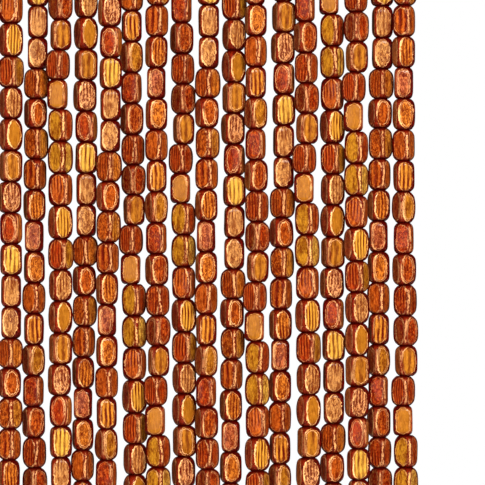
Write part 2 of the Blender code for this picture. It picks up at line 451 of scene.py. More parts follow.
def flat_faces(bead, theta, v, rng):
    """The distance of the four flats from the string, which of them is met, and its groove marks."""
    half_face = bead.kind.face / 2
    prism = np.full_like(theta, FAR_OFF)
    foremost = np.zeros(theta.shape, int)
    marks = [np.zeros_like(theta) for _ in range(2)]
    for face in range(FACES):
        lean = wrapped(theta - face * FACE_ANGLE)
        near = np.abs(lean) < FACE_REACH
        u = half_face * np.tan(np.clip(lean, -MARK_REACH, MARK_REACH))
        cycles, strength = face_marks(bead, face, u, v, rng)
        level = half_face + waves(rng, u, v, FACE_SWELL)
        level = level - GROOVE_DEPTH * strength * groove_shape(cycles)
        distance = np.where(near, level / np.cos(np.where(near, lean, 0.0)), FAR_OFF)
        mine = distance < prism
        prism = np.where(mine, distance, prism)
        foremost = np.where(mine, face, foremost)
        marks = [np.where(mine, new, old) for new, old in zip((cycles, strength), marks)]
    return prism, foremost, marks


def bead_mesh(bead):
    """The bead as points, quads and triangles in millimetres, and what its material reads at each point."""
    look = bead.look
    rng = np.random.default_rng(bead.seed)
    half_length = bead.kind.length / 2
    half_face = bead.kind.face / 2
    theta, zeta, v = bead_grid(half_length)
    around = theta * ROUND_SCALE
    outline = face_width(look, zeta + waves(rng, around, v, OUTLINE_SWELL)) * (half_face - CORNER_BAND)
    barrel = np.minimum(np.hypot(half_face, outline), end_radius(look, half_face, zeta))
    barrel = barrel + waves(rng, around, v, BAND_SWELL)
    prism, foremost, marks = flat_faces(bead, theta, v, rng)
    k = EDGE_SOFTNESS
    radius = -k * np.log(np.exp(-prism / k) + np.exp(-barrel / k)) + k * math.log(2) * 0.5
    radius = radius * end_taper(zeta)
    facing = math.radians(bead.kind.turn - 90) + theta
    points = np.stack([radius * np.cos(facing), radius * np.sin(facing), v], axis=-1)
    edge = edge_distance(prism, barrel, radius, v)
    values = bead_values(bead, theta, zeta, radius, foremost, edge, marks, points, rng)
    return with_bore(bead, points, values)


def edge_distance(prism, barrel, radius, v):
    """How far a point lies inside the flat face's outline, in millimetres, or outside it where negative."""
    gap = barrel - prism
    ringed = np.concatenate([gap[:, -1:], gap, gap[:, :1]], axis=1)
    step = radius * math.tau / COLUMNS
    slope_round = (ringed[:, 2:] - ringed[:, :-2]) / (2 * step)
    slope_along = np.gradient(gap, v[:, 0], axis=0)
    slope = np.hypot(slope_round, slope_along)
    return np.clip(gap / np.maximum(slope, LEAST_SLOPE), *EDGE_LIMITS)


def face_tones(bead, rng):
    """The linear colours of the bead's faces: the front one, the right one, the back one and the left one."""
    look = bead.look
    hidden = [str(name) for name in rng.choice(HIDDEN_TONES, 2)]
    # A left face that shows takes the kind's side tone, always a dark one: painted shade on the left side.
    right_shows = bead.kind.turn < 0
    right = look.side if right_shows else hidden[0]
    left = hidden[0] if right_shows else look.side
    brightness = 1 + rng.uniform(-TONE_SPREAD, TONE_SPREAD)
    return np.array([display(TONES[name]) for name in (look.front, right, hidden[1], left)]), brightness


def foremost_corner(bead):
    """The angle of the corner between the two faces that show."""
    return FACE_ANGLE / 2 if bead.kind.turn < 0 else -FACE_ANGLE / 2


def by_outer_corner(bead, theta, radius):
    """1 beside the corners other than the one between the two faces that show, and 0 away from them."""
    near = np.zeros_like(theta)
    for step in range(1, FACES):
        off = wrapped(theta - foremost_corner(bead) - step * FACE_ANGLE)
        near = np.maximum(near, 1 - smooth_step(np.abs(off) * radius, *OUTER_CORNER))
    return near


def front_corner(bead, theta, zeta, radius, rng):
    """The distance from the corner between the two faces that show, and how strongly this corner gets its
    painted highlight.
    """
    lean = rng.uniform(-RIDGE_LEAN, RIDGE_LEAN)
    bend = RIDGE_BEND * np.sin(zeta * rng.uniform(*RIDGE_BENDS) + rng.uniform(0, math.tau))
    off = wrapped(theta - foremost_corner(bead) - bend - lean * zeta)
    ends = 1 - smooth_step(np.abs(zeta - rng.uniform(-RIDGE_SHIFT, RIDGE_SHIFT)), *RIDGE_ENDS)
    return np.clip(off * radius, -RIDGE_LIMIT, RIDGE_LIMIT), bead.look.ridge * ends


def bead_values(bead, theta, zeta, radius, foremost, edge, marks, points, rng):
    """What the material reads at each point: tone, place in the wood, marks, painted light (rim highlight,
    shade at the ends, crest highlight), figure and ridge.
    """
    look = bead.look
    tones, brightness = face_tones(bead, rng)
    row, column = divmod(bead.seed, WOOD_COLUMNS)
    front = foremost == 0
    off, strength = front_corner(bead, theta, zeta, radius, rng)
    # Painted shade: the dark band between the faces is widened beside the outer corners, where the outlines
    # fall.
    edge = edge - np.where(front, OUTER_BAND, OUTER_BAND_SIDE) * by_outer_corner(bead, theta, radius)
    # Painted highlight along the front face's edge, fading away from the front corner.
    rim = look.rim * (1 - RIM_FADED_BY * smooth_step(np.abs(off), *RIM_FADE))
    rim = np.where(front, rim, HIDDEN_RIM)
    around = theta * ROUND_SCALE
    v = points[..., 2]
    rim = rim * np.clip(1 + waves(rng, around, v, RIM_SWELL), *RIM_LIMITS)
    inset = np.where(front, look.inset, HIDDEN_INSET)
    inset = inset * np.clip(1 + waves(rng, around, v, INSET_SWELL), *INSET_LIMITS)
    crest = np.where(front, look.crest, HIDDEN_CREST)
    speckle = np.where(front, look.speckle, HIDDEN_SPECKLE)
    nothing = np.zeros_like(edge)
    return {
        "tone": tones[foremost] * brightness,
        "wood": points + np.array([WOOD_STEP_X * column, WOOD_STEP_Y * row, 0.0]),
        "marks": np.stack([*marks, edge], axis=-1),
        # Painted light: the rim's painted highlight, the painted shade at the ends, and the crests' painted
        # highlight.
        "wear": np.stack([rim, smooth_step(np.abs(zeta), *GAP), crest], axis=-1),
        "figure": np.stack([inset, speckle, nothing], axis=-1),
        "ridge": np.stack([off, strength, nothing], axis=-1),
    }


def end_fan(ring, bore, bore_next):
    """The triangles between one end's outer ring and the bore's ring."""
    per = COLUMNS // BORE_COLUMNS
    triangles = []
    for column in range(BORE_COLUMNS):
        first = column * per
        corners = [ring[(first + j) % COLUMNS] for j in range(per + 1)]
        middle = per // 2
        triangles += [(corners[j], corners[j + 1], bore[column]) for j in range(middle)]
        triangles.append((corners[middle], bore_next[column], bore[column]))
        triangles += [(corners[j], corners[j + 1], bore_next[column]) for j in range(middle, per)]
    return triangles


def with_bore(bead, points, values):
    """The bead's outside closed by its two ends and the bore between them, and its values at every point."""
    half_length = bead.kind.length / 2
    grid = points.reshape(-1, 3)
    outside = np.arange(RINGS * COLUMNS).reshape(RINGS, COLUMNS)
    right = np.roll(outside, -1, axis=1)
    skin = np.stack([outside[:-1], right[:-1], right[1:], outside[1:]], axis=-1).reshape(-1, 4)
    turn = math.radians(bead.kind.turn - 90) + np.arange(BORE_COLUMNS) / BORE_COLUMNS * math.tau
    hole = np.stack([np.cos(turn) * BORE_RADIUS, np.sin(turn) * BORE_RADIUS], axis=-1)
    ends = [np.column_stack([hole, np.full(BORE_COLUMNS, z)]) for z in (-half_length, half_length)]
    low = len(grid) + np.arange(BORE_COLUMNS)
    high = low + BORE_COLUMNS
    low_next, high_next = np.roll(low, -1), np.roll(high, -1)
    bore = np.stack([low, high, high_next, low_next], axis=-1)
    triangles = [corners[::-1] for corners in end_fan(outside[0], low, low_next)]
    triangles += end_fan(outside[-1], high, high_next)
    place = np.array([bead.x, bead.y, bead.top - half_length])
    form = (np.concatenate([grid, *ends]) + place, np.concatenate([skin, bore]), np.array(triangles))
    full = {}
    for name, value in values.items():
        flat = value.reshape(-1, 3)
        inner = np.repeat(flat[:1], 2 * BORE_COLUMNS, axis=0)
        full[name] = np.concatenate([flat, inner])
    return form, full


def object_of(name, data):
    """A new object of the scene that holds this data."""
    piece = bpy.data.objects.new(name, data)
    bpy.context.scene.collection.objects.link(piece)
    return piece


def mesh_of(name, points, quads, triangles):
    """A smooth-shaded mesh in metres, of points in millimetres."""
    mesh = bpy.data.meshes.new(name)
    mesh.vertices.add(len(points))
    mesh.vertices.foreach_set("co", (points * MM).astype(np.float32).ravel())
    loops = np.concatenate([quads.ravel(), triangles.ravel()]).astype(np.int32)
    sizes = np.concatenate([np.full(len(quads), 4), np.full(len(triangles), 3)])
    mesh.loops.add(len(loops))
    mesh.loops.foreach_set("vertex_index", loops)
    mesh.polygons.add(len(sizes))
    starts = np.concatenate([[0], np.cumsum(sizes)[:-1]]).astype(np.int32)
    mesh.polygons.foreach_set("loop_start", starts)
    mesh.update(calc_edges=True)
    mesh.validate()
    mesh.shade_smooth()
    return mesh


def joined(name, forms):
    """Several closed forms, each of points, quads and triangles, as one mesh object."""
    starts = np.cumsum([0] + [len(points) for points, _, _ in forms])
    points = np.concatenate([form[0] for form in forms])
    quads = np.concatenate([form[1] + start for form, start in zip(forms, starts)])
    triangles = np.concatenate([form[2] + start for form, start in zip(forms, starts)])
    return object_of(name, mesh_of(name, points, quads, triangles))


def beads_piece(name, beads):
    """All beads of a strand as one mesh object, each a closed form of its own."""
    made = [bead_mesh(bead) for bead in beads]
    piece = joined(name, [form for form, _ in made])
    for key in made[0][1]:
        attribute = piece.data.attributes.new(key, "FLOAT_VECTOR", "POINT")
        values = np.concatenate([values[key] for _, values in made])
        attribute.data.foreach_set("vector", values.astype(np.float32).ravel())
    return piece


class Nodes:
    """Short ways to add nodes to a material or a world. A value is a number, a colour or another's output."""

    def __init__(self, owner):
        owner.use_nodes = True
        self.owner = owner
        self.tree = owner.node_tree

    def put(self, socket, value):
        if isinstance(value, bpy.types.NodeSocket):
            self.tree.links.new(value, socket)
        elif socket.type == "RGBA":
            socket.default_value = (*value[:3], 1.0)
        else:
            socket.default_value = value

    def add(self, kind, inputs, **settings):
        node = self.tree.nodes.new(kind)
        for key, value in settings.items():
            setattr(node, key, value)
        for key, value in inputs.items():
            self.put(node.inputs[key], value)
        return node

    def vector(self, name):
        """A vector that the mesh holds at its points."""
        node = self.add("ShaderNodeAttribute", {}, attribute_name=name, attribute_type="GEOMETRY")
        return node.outputs["Vector"]

    def numbers(self, name):
        """The three numbers of such a vector."""
        return self.add("ShaderNodeSeparateXYZ", {0: self.vector(name)}).outputs

    def math(self, operation, *values):
        return self.add("ShaderNodeMath", dict(enumerate(values)), operation=operation).outputs[0]

    def plus(self, first, *others):
        for value in others:
            first = self.math("ADD", first, value)
        return first

    def times(self, first, *others):
        for value in others:
            first = self.math("MULTIPLY", first, value)
        return first

    def centred(self, noise):
        """Noise about 0 instead of about a half."""
        return self.math("SUBTRACT", noise, 0.5)

    def step(self, value, low, high, out_low=0.0, out_high=1.0):
        """A soft change from out_low to out_high as the value goes from low to high."""
        inputs = {"Value": value, "From Min": low, "From Max": high, "To Min": out_low, "To Max": out_high}
        return self.add("ShaderNodeMapRange", inputs, interpolation_type="SMOOTHSTEP").outputs["Result"]

    def mark(self, value, mark):
        """1 where the mark is full and 0 where it has faded out."""
        return self.step(value, mark.faded, mark.full)

    def line(self, value, line):
        """1 between the line's two full values, falling to 0 at the outer ones."""
        low = self.step(value, line.low, line.low_full)
        return self.times(low, self.step(value, line.high, line.high_full))

    def noise(self, vector, grain):
        place = self.add("ShaderNodeVectorMath", {0: vector, 1: grain.stretch}, operation="MULTIPLY")
        inputs = {
            "Vector": place.outputs["Vector"],
            "Scale": grain.scale,
            "Detail": grain.detail,
            "Roughness": grain.roughness,
            "Distortion": grain.distortion,
        }
        return self.add("ShaderNodeTexNoise", inputs).outputs["Fac"]

    def mix(self, factor, a, b, blend="MIX"):
        """Colour a, and b over it by this factor."""
        inputs = {0: factor, 6: a, 7: b}
        node = self.add("ShaderNodeMix", inputs, data_type="RGBA", blend_type=blend, clamp_factor=True)
        return node.outputs[2]

    def finish(self, colour, height, relief, roughness, uniform):
        """The material, with this colour, relief and roughness and these uniform values."""
        inputs = {"Strength": relief.strength, "Distance": relief.depth * MM, "Height": height}
        normal = self.add("ShaderNodeBump", inputs).outputs["Normal"]
        shader = self.tree.nodes["Principled BSDF"]
        values = {"Base Color": colour, "Roughness": roughness, "Normal": normal, **uniform}
        for name, value in values.items():
            self.put(shader.inputs[name], value)
        return self.owner


# Grains of noise: how the space is stretched, with a low value along the grain, and the noise's own settings.
# A bead's space is in millimetres, and the space of the heading and the strings in metres.
Grain = namedtuple("Grain", "stretch scale detail roughness distortion")
WOOD_GRAIN = Grain((1.0, 1.0, 0.2), 0.85, 3.0, 0.6, 0.5)
WOOD_FIBRE = Grain((1.0, 1.0, 0.25), 1.8, 3.0, 0.6, 0.2)
WOOD_MOTTLE = Grain((1.0, 1.0, 0.6), 0.95, 2.0, 0.5, 1.2)
WOOD_BROAD = Grain((1.0, 1.0, 1.0), 0.3, 1.0, 0.5, 0.4)
WOOD_VEIN = Grain((1.0, 1.0, 0.4), 0.55, 1.5, 0.5, 1.4)
HEADING_GRAIN = Grain((90.0, 1100.0, 1100.0), 0.35, 4.0, 0.6, 0.8)
HEADING_FIBRE = Grain((90.0, 1100.0, 1100.0), 1.9, 4.0, 0.65, 0.2)
STRING_FIBRE = Grain((3000.0, 3000.0, 900.0), 1.0, 4.0, 0.6, 0.0)

# Relief: how strongly the bump is felt, and how deep it is.
Relief = namedtuple("Relief", "strength depth")
BEAD_RELIEF = Relief(0.8, 0.16)
HEADING_RELIEF = Relief(0.6, 0.15)
STRING_RELIEF = Relief(0.5, 0.1)

# Marks: the value at which each has faded out, the one at which it is full, and how much of the colour below
# it then hides, if not all. The values are noise, waves, or millimetres from the ridge or a face's edge.
Mark = namedtuple("Mark", "faded full hides", defaults=(1.0,))
LIGHT_GRAIN = Mark(0.34, 0.60)
PALE_FIBRES = Mark(0.53, 0.63, 0.4)
DARK_FIBRES = Mark(0.46, 0.37, 0.5)
DARK_SPOTS = Mark(0.49, 0.55)
PALE_SPOTS = Mark(0.44, 0.38, 0.5)
DARK_VEINS = Mark(0.034, 0.014, 0.9)
CRESTS = Mark(0.4, 0.95, 0.9)
GROOVES = Mark(-0.1, -0.7, 0.9)
RIM_HIGHLIGHT_GRAIN = Mark(0.34, 0.50)
RIDGE = Mark(0.5, 0.3)
RIDGE_SPARED = Mark(0.62, 0.5)
FACE = Mark(-0.12, 0.06)
RED_SIDES = Mark(0.42, 0.66)
CORNER_FIBRES = Mark(0.36, 0.5)
NEAR_CORNER = Mark(1.7, 0.8)

HEADING_TONES = Mark(0.3, 0.7)
HEADING_STREAKS = Mark(0.55, 0.75, 0.55)
STRING_TONES = Mark(0.35, 0.65)

# Lines, which fade out on both sides.
Line = namedtuple("Line", "low low_full high_full high hides", defaults=(1.0,))
PALE_VEINS = Line(0.026, 0.042, 0.058, 0.08, 0.6)
RIM = Line(-0.1, 0.08, 0.28, 0.5)
TROUGH = Line(0.5, 0.65, 0.85, 1.05, 0.8)
SECOND_RIM = Line(1.05, 1.2, 1.45, 1.65, 0.8)
FLANKS = Line(0.45, 0.6, 0.95, 1.3, 0.9)

# How the marks vary. EVEN_SHARE is the light tone's share on a plain face, and PLAIN_STAIN how much of the
# stain's unevenness a face without speckle has. Faces have all of it from STAINED_AT on, and all veins from
# VEINED_AT on. A rim is RIM_WIDENED times as wide near the front corner, and LEAST_TROUGH is the least
# strength of the dark line inside a rim. RIDGE_THIN is what the ridge line keeps where the grain is dark.
EVEN_SHARE = 0.6
PLAIN_STAIN = 0.25
STAINED_AT = 0.3
VEINED_AT = 0.7
BROAD_DRIFT = 0.5
GROOVE_WOBBLE = 0.28
EDGE_RAGGED = 2.0
RIDGE_RAGGED = 1.5
RIM_WIDENED = 2.1
RIM_PLAIN_FROM, RIM_WIDE_FROM = 2.6, 1.0
LEAST_TROUGH = 0.75
RIDGE_THIN = 0.35
RIDGE_GRAIN = (0.36, 0.48)
FIBRE_GLOW = 0.28
RIDGE_GLOW = 0.65

# How high and how rough each mark makes the lacquered surface.
FIBRE_HEIGHT = 0.8
GROOVE_HEIGHT = -1.0
SECOND_RIM_HEIGHT = 0.6
PIT_HEIGHT = -0.8
FIBRES_SEEN = (0.3, 0.7)
BEAD_ROUGHNESS = (0.26, 0.40)
GROOVE_ROUGHNESS = 0.2
HEADING_ROUGHNESS = (0.32, 0.5)
BEAD_FINISH = {"Specular IOR Level": 0.05, "Coat Weight": 0.12, "Coat Roughness": 0.10}
HEADING_FINISH = {"Coat Weight": 0.2, "Coat Roughness": 0.25}
STRING_ROUGHNESS = 0.6

# Dark reds of the bands between the faces, painted shade, and the lighter red along the front corner, painted
# light.
PAINTED_SHADE_DARK = display((0.22, 0.01, 0.00))
PAINTED_SHADE_RED = display((0.40, 0.03, 0.00))
PAINTED_LIGHT_CORNER = display((0.49, 0.12, 0.03))
# Pale paint for the rims, the second rim line and the ridge: painted highlight.
PAINTED_HIGHLIGHT = display((1.00, 0.76, 0.51))
PALE_FIBRE = display((1.00, 0.63, 0.24))
# Painted shade at each bead's ends, between the beads.
PAINTED_GAP_SHADE = display((0.27, 0.01, 0.00))
# Dark red of the pores, veins and spots, of the dark lines beside rims and ridge, and of the painted shade in
# the grooves.
PORE_AND_SHADE_DARK = display((0.36, 0.04, 0.00))
HEADING_DARK = display((0.27, 0.10, 0.05))
HEADING_PALE = display((0.55, 0.26, 0.12))
STRING_DARK = display((0.20, 0.10, 0.06))
STRING_PALE = display((0.45, 0.28, 0.17))

# What the stain does to the tone of the wood, as factors of its linear colour.
STAIN_DARK = (0.46, 0.25, 0.13)
STAIN_LIGHT = (1.25, 1.24, 1.15)


class BeadWood(Nodes):
    """The beads' wood, painted in layers by what the mesh holds at its points and by noise in the wood."""

    def __init__(self):
        super().__init__(bpy.data.materials.new("lacquered bead wood"))
        self.cycles, self.cut, self.edge = self.numbers("marks")
        # The rim's painted highlight, the painted shade at the bead's ends, and how pale the crests are
        # painted as highlight.
        self.rim, self.depth, self.crest = self.numbers("wear")
        self.inset, self.speckle, _ = self.numbers("figure")
        self.off_ridge, self.ridge, _ = self.numbers("ridge")
        tone = self.vector("tone")
        wood = self.vector("wood")
        self.grain = self.noise(wood, WOOD_GRAIN)
        self.fibre = self.noise(wood, WOOD_FIBRE)
        self.mottle = self.noise(wood, WOOD_MOTTLE)
        self.broad = self.noise(wood, WOOD_BROAD)
        self.vein = self.centred(self.noise(wood, WOOD_VEIN))
        self.dark_tone = self.mix(1.0, tone, STAIN_DARK, "MULTIPLY")
        self.light_tone = self.mix(1.0, tone, STAIN_LIGHT, "MULTIPLY")
        self.glow = self.mix(FIBRE_GLOW, self.light_tone, PALE_FIBRE)
        self.colour = self.light_tone

    def lay(self, amount, layer, paint):
        """Paint over the colour so far, by this amount of what the layer hides."""
        self.colour = self.mix(self.times(amount, layer.hides), self.colour, paint)

    def stain(self):
        """The tone, lighter and darker with the grain and its fibres, and less so on plain faces."""
        drift = self.plus(self.grain, self.times(self.centred(self.broad), BROAD_DRIFT))
        stained = self.step(self.speckle, 0.0, STAINED_AT, PLAIN_STAIN, 1.0)
        uneven = self.math("SUBTRACT", self.mark(drift, LIGHT_GRAIN), EVEN_SHARE)
        light_share = self.plus(self.times(uneven, stained), EVEN_SHARE)
        self.colour = self.mix(light_share, self.dark_tone, self.light_tone)
        self.lay(self.mark(self.fibre, PALE_FIBRES), PALE_FIBRES, self.glow)
        dark_fibres = self.times(self.mark(self.fibre, DARK_FIBRES), stained)
        self.lay(dark_fibres, DARK_FIBRES, self.dark_tone)

    def figure(self):
        """Veins and spots, on the kinds that have them."""
        veined = self.step(self.speckle, 0.0, VEINED_AT)
        dark_veins = self.times(self.mark(self.math("ABSOLUTE", self.vein), DARK_VEINS), veined)
        pale_veins = self.times(self.line(self.vein, PALE_VEINS), veined)
        dark_spots = self.times(self.mark(self.mottle, DARK_SPOTS), self.speckle)
        pale_spots = self.times(self.mark(self.mottle, PALE_SPOTS), self.speckle)
        self.lay(dark_veins, DARK_VEINS, PORE_AND_SHADE_DARK)
        self.lay(pale_veins, PALE_VEINS, self.glow)
        self.lay(dark_spots, DARK_SPOTS, PORE_AND_SHADE_DARK)
        self.lay(pale_spots, PALE_SPOTS, self.glow)
        self.pits = self.plus(dark_spots, dark_veins)

    def carve(self):
        """Painted shade in the grooves, and pale wood painted on the crests between them as painted
        highlight.
        """
        wobble = self.plus(self.cycles, self.times(self.centred(self.grain), GROOVE_WOBBLE))
        wave = self.math("COSINE", self.times(wobble, math.tau))
        crests = self.times(self.mark(wave, CRESTS), self.cut, self.crest)
        self.grooves = self.times(self.mark(wave, GROOVES), self.cut)
        self.lay(crests, CRESTS, self.glow)
        self.lay(self.grooves, GROOVES, PORE_AND_SHADE_DARK)

    def wear_rims(self):
        """The face's pale edge, a painted highlight, a dark line inside it, and a second pale line inside
        that, a raised line with painted highlight.
        """
        self.ragged = self.plus(self.edge, self.times(self.centred(self.mottle), EDGE_RAGGED))
        self.second_rim = self.times(self.line(self.ragged, SECOND_RIM), self.inset)
        trough = self.times(self.line(self.ragged, TROUGH), self.math("MAXIMUM", self.inset, LEAST_TROUGH))
        self.lay(self.second_rim, SECOND_RIM, PAINTED_HIGHLIGHT)
        self.lay(trough, TROUGH, PORE_AND_SHADE_DARK)
        from_corner = self.math("ABSOLUTE", self.off_ridge)
        widened = self.step(from_corner, RIM_PLAIN_FROM, RIM_WIDE_FROM, 1.0, RIM_WIDENED)
        rim = self.line(self.math("DIVIDE", self.ragged, widened), RIM)
        # The rim's painted highlight, broken where the grain is dark.
        self.lay(self.times(rim, self.rim, self.mark(self.grain, RIM_HIGHLIGHT_GRAIN)), RIM, PAINTED_HIGHLIGHT)

    def lacquer_sides(self):
        """Dark red bands between the faces, painted shade, painted lighter along the front corner as painted
        light.
        """
        side = self.mix(self.mark(self.fibre, RED_SIDES), PAINTED_SHADE_DARK, PAINTED_SHADE_RED)
        near = self.mark(self.math("ABSOLUTE", self.off_ridge), NEAR_CORNER)
        lit_corner = self.times(near, self.mark(self.fibre, CORNER_FIBRES))
        side = self.mix(lit_corner, side, PAINTED_LIGHT_CORNER)
        self.colour = self.mix(self.mark(self.ragged, FACE), side, self.colour)

    def wear_ridge(self):
        """The front corner's pale line, a painted highlight, which the mottling breaks, between two dark
        ones.
        """
        wavy = self.plus(self.off_ridge, self.times(self.centred(self.mottle), RIDGE_RAGGED))
        off = self.math("ABSOLUTE", wavy)
        flanks = self.times(self.line(off, FLANKS), self.ridge)
        by_grain = self.step(self.grain, *RIDGE_GRAIN, RIDGE_THIN, 1.0)
        spared = self.times(self.mark(self.mottle, RIDGE_SPARED), by_grain)
        self.lay(flanks, FLANKS, PORE_AND_SHADE_DARK)
        pale = self.mix(RIDGE_GLOW, self.light_tone, PAINTED_HIGHLIGHT)
        self.lay(self.times(self.mark(off, RIDGE), self.ridge, spared), RIDGE, pale)

    def made(self):
        """The finished material, with painted shade in the gaps between beads, and relief."""
        # Painted shade: the ends of each bead are darkened where it meets the next.
        self.colour = self.mix(self.depth, self.colour, PAINTED_GAP_SHADE)
        height = self.plus(
            self.times(self.grooves, GROOVE_HEIGHT),
            self.times(self.second_rim, SECOND_RIM_HEIGHT),
            self.times(self.fibre, FIBRE_HEIGHT),
            self.times(self.pits, PIT_HEIGHT),
        )
        roughness = self.step(self.fibre, *FIBRES_SEEN, *BEAD_ROUGHNESS)
        roughness = self.plus(roughness, self.times(self.grooves, GROOVE_ROUGHNESS))
        return self.finish(self.colour, height, BEAD_RELIEF, roughness, BEAD_FINISH)


def bead_material():
    """Stained wood under lacquer: grain and mottling, with painted shade in the grooves, at the ends and in
    the bands between the faces, and painted highlights on rims, crests and ridges.
    """
    wood = BeadWood()
    wood.stain()
    wood.figure()
    wood.carve()
    wood.wear_rims()
    wood.lacquer_sides()
    wood.wear_ridge()
    return wood.made()


def heading_material():
    """Dark stained, lacquered wood whose grain runs along the heading."""
    n = Nodes(bpy.data.materials.new("heading wood"))
    place = n.add("ShaderNodeTexCoord", {}).outputs["Object"]
    grain = n.noise(place, HEADING_GRAIN)
    fibre = n.noise(place, HEADING_FIBRE)
    colour = n.mix(n.mark(grain, HEADING_TONES), HEADING_DARK, HEADING_PALE)
    streaks = n.times(n.mark(fibre, HEADING_STREAKS), HEADING_STREAKS.hides)
    colour = n.mix(streaks, colour, HEADING_DARK)
    roughness = n.step(fibre, *FIBRES_SEEN, *HEADING_ROUGHNESS)
    return n.finish(colour, fibre, HEADING_RELIEF, roughness, HEADING_FINISH)


def string_material():
    """Brown waxed yarn."""
    n = Nodes(bpy.data.materials.new("waxed string"))
    place = n.add("ShaderNodeTexCoord", {}).outputs["Object"]
    fibre = n.noise(place, STRING_FIBRE)
    colour = n.mix(n.mark(fibre, STRING_TONES), STRING_DARK, STRING_PALE)
    return n.finish(colour, fibre, STRING_RELIEF, STRING_ROUGHNESS, {})


def tube(path, radius_at):
    """A closed tube along the path, of points, quads and triangles. Its radius is radius_at(angle, run)."""
    path = np.asarray(path, float)
    ahead = np.gradient(path, axis=0)
    ahead /= np.linalg.norm(ahead, axis=1, keepdims=True)
    run = np.concatenate([[0], np.cumsum(np.linalg.norm(np.diff(path, axis=0), axis=1))])
    angle = np.arange(STRING_COLUMNS) / STRING_COLUMNS * math.tau
    side = np.cross(ahead[0], ASIDE)
    rings = []
    for place, direction, length in zip(path, ahead, run):
        side = side - direction * side.dot(direction)
        side /= np.linalg.norm(side)
        up = np.cross(direction, side)
        radius = radius_at(angle, length)[:, None]
        rings.append(place + radius * (np.cos(angle)[:, None] * side + np.sin(angle)[:, None] * up))
    points = np.concatenate(rings)
    index = np.arange(len(points)).reshape(len(path), STRING_COLUMNS)
    right = np.roll(index, -1, axis=1)
    quads = np.stack([index[:-1], right[:-1], right[1:], index[1:]], axis=-1).reshape(-1, 4)
    first, last = index[0], index[-1]
    caps = [(first[0], first[j + 1], first[j]) for j in range(1, STRING_COLUMNS - 1)]
    caps += [(last[0], last[j], last[j + 1]) for j in range(1, STRING_COLUMNS - 1)]
    return points, quads, np.array(caps)


def plied(radius):
    """The radius of a cord of twisted plies, by the angle round it and the run along it."""

    def radius_at(angle, run):
        twisted = np.cos(PLIES * (angle - run / TWIST_LENGTH * math.tau))
        return radius * (1 - PLY_DEPTH / 2 + PLY_DEPTH * twisted)

    return radius_at


def bead_end(bead):
    return bead.top - bead.kind.length


def string_path(index, beads):
    """The string's points from inside the slat down into the knot, with one point in each bead."""
    first, last = beads[0], beads[-1]
    above = np.arange(SLAT_HIGH.z - STRING_TOP, first.top - IN_BORE, -FINE_STEP)
    below = np.arange(bead_end(last) + IN_BORE, bead_end(last) - KNOT_LENGTH / 2, -FINE_STEP)
    places = [(string_x(index, z), z) for z in above]
    places += [(bead.x, bead.top - bead.kind.length / 2) for bead in beads]
    places += [(last.x, z) for z in below]
    return [(x, string_y(index), z) for x, z in places]


def knot_path(bead):
    """An overhand knot under this bead, pulled fairly tight."""
    turn = np.linspace(-KNOT_OVERLAP * math.tau, (1 + KNOT_OVERLAP) * math.tau, KNOT_STEPS)
    x = (np.sin(turn) + 2 * np.sin(2 * turn)) * KNOT_SIZE * KNOT_WIDTH
    y = np.sin(3 * turn) * KNOT_SIZE * KNOT_DEPTH
    z = (np.cos(turn) - 2 * np.cos(2 * turn)) * KNOT_SIZE * KNOT_HEIGHT
    return np.column_stack([bead.x + x, bead.y + y, bead_end(bead) - KNOT_LENGTH / 2 + z])


def tail_path(bead):
    bottom = bead_end(bead) - KNOT_LENGTH
    return [(bead.x, bead.y, z) for z in np.arange(bottom + TAIL_IN_KNOT, bottom - TAIL_LENGTH, -FINE_STEP)]


def string_piece(name, index, beads):
    """A strand's string, knot and tail as one mesh object."""
    string = tube(string_path(index, beads), plied(STRING_RADIUS))
    knot = tube(knot_path(beads[-1]), plied(KNOT_CORD))
    tail = tube(tail_path(beads[-1]), plied(STRING_RADIUS * TAIL_SHARE))
    return joined(name, [string, knot, tail])


def object_from(shape, name):
    """A new object of this bmesh, which is freed."""
    mesh = bpy.data.meshes.new(name)
    shape.to_mesh(mesh)
    shape.free()
    return object_of(name, mesh)


def rounded_box(name, low, high, rounding):
    """A box between these corners, with rounded edges."""
    shape = bmesh.new()
    bmesh.ops.create_cube(shape, size=1.0)
    bmesh.ops.scale(shape, vec=(high - low) * MM, verts=shape.verts)
    bmesh.ops.translate(shape, vec=(low + high) / 2 * MM, verts=shape.verts)
    box = object_from(shape, name)
    bevel = box.modifiers.new("rounded edges", "BEVEL")
    bevel.width = rounding * MM
    bevel.segments = ROUND_SEGMENTS
    bevel.limit_method = "ANGLE"
    return box


def apply_modifiers(piece):
    """Turn the piece's modifiers into mesh, smooth but for its real edges."""
    graph = bpy.context.evaluated_depsgraph_get()
    made = bpy.data.meshes.new_from_object(piece.evaluated_get(graph))
    piece.modifiers.clear()
    piece.data = made
    made.shade_smooth()
    made.set_sharp_from_angle(angle=math.radians(SHARP_ANGLE))


def slat_drills():
    """A cylinder for each strand's hole."""
    drills = bmesh.new()
    for index in range(len(STRANDS)):
        radius = HOLE_RADIUS * MM
        sizes = {"radius1": radius, "radius2": radius, "depth": 3 * SLAT_HEIGHT * MM}
        drill = bmesh.ops.create_cone(drills, cap_ends=True, segments=HOLE_SEGMENTS, **sizes)
        place = Vector((string_x(index, SLAT_LOW.z), string_y(index), (SLAT_LOW.z + SLAT_HIGH.z) / 2))
        bmesh.ops.translate(drills, vec=place * MM, verts=drill["verts"])
    return object_from(drills, "drills")


def slat_piece(name):
    """The slat with its two staggered rows of drilled holes."""
    slat = rounded_box(name, SLAT_LOW, SLAT_HIGH, SLAT_ROUND)
    drills = slat_drills()
    cut = slat.modifiers.new("drilled", "BOOLEAN")
    cut.operation = "DIFFERENCE"
    cut.solver = "EXACT"
    cut.object = drills
    apply_modifiers(slat)
    bpy.data.objects.remove(drills, do_unlink=True)
    return slat


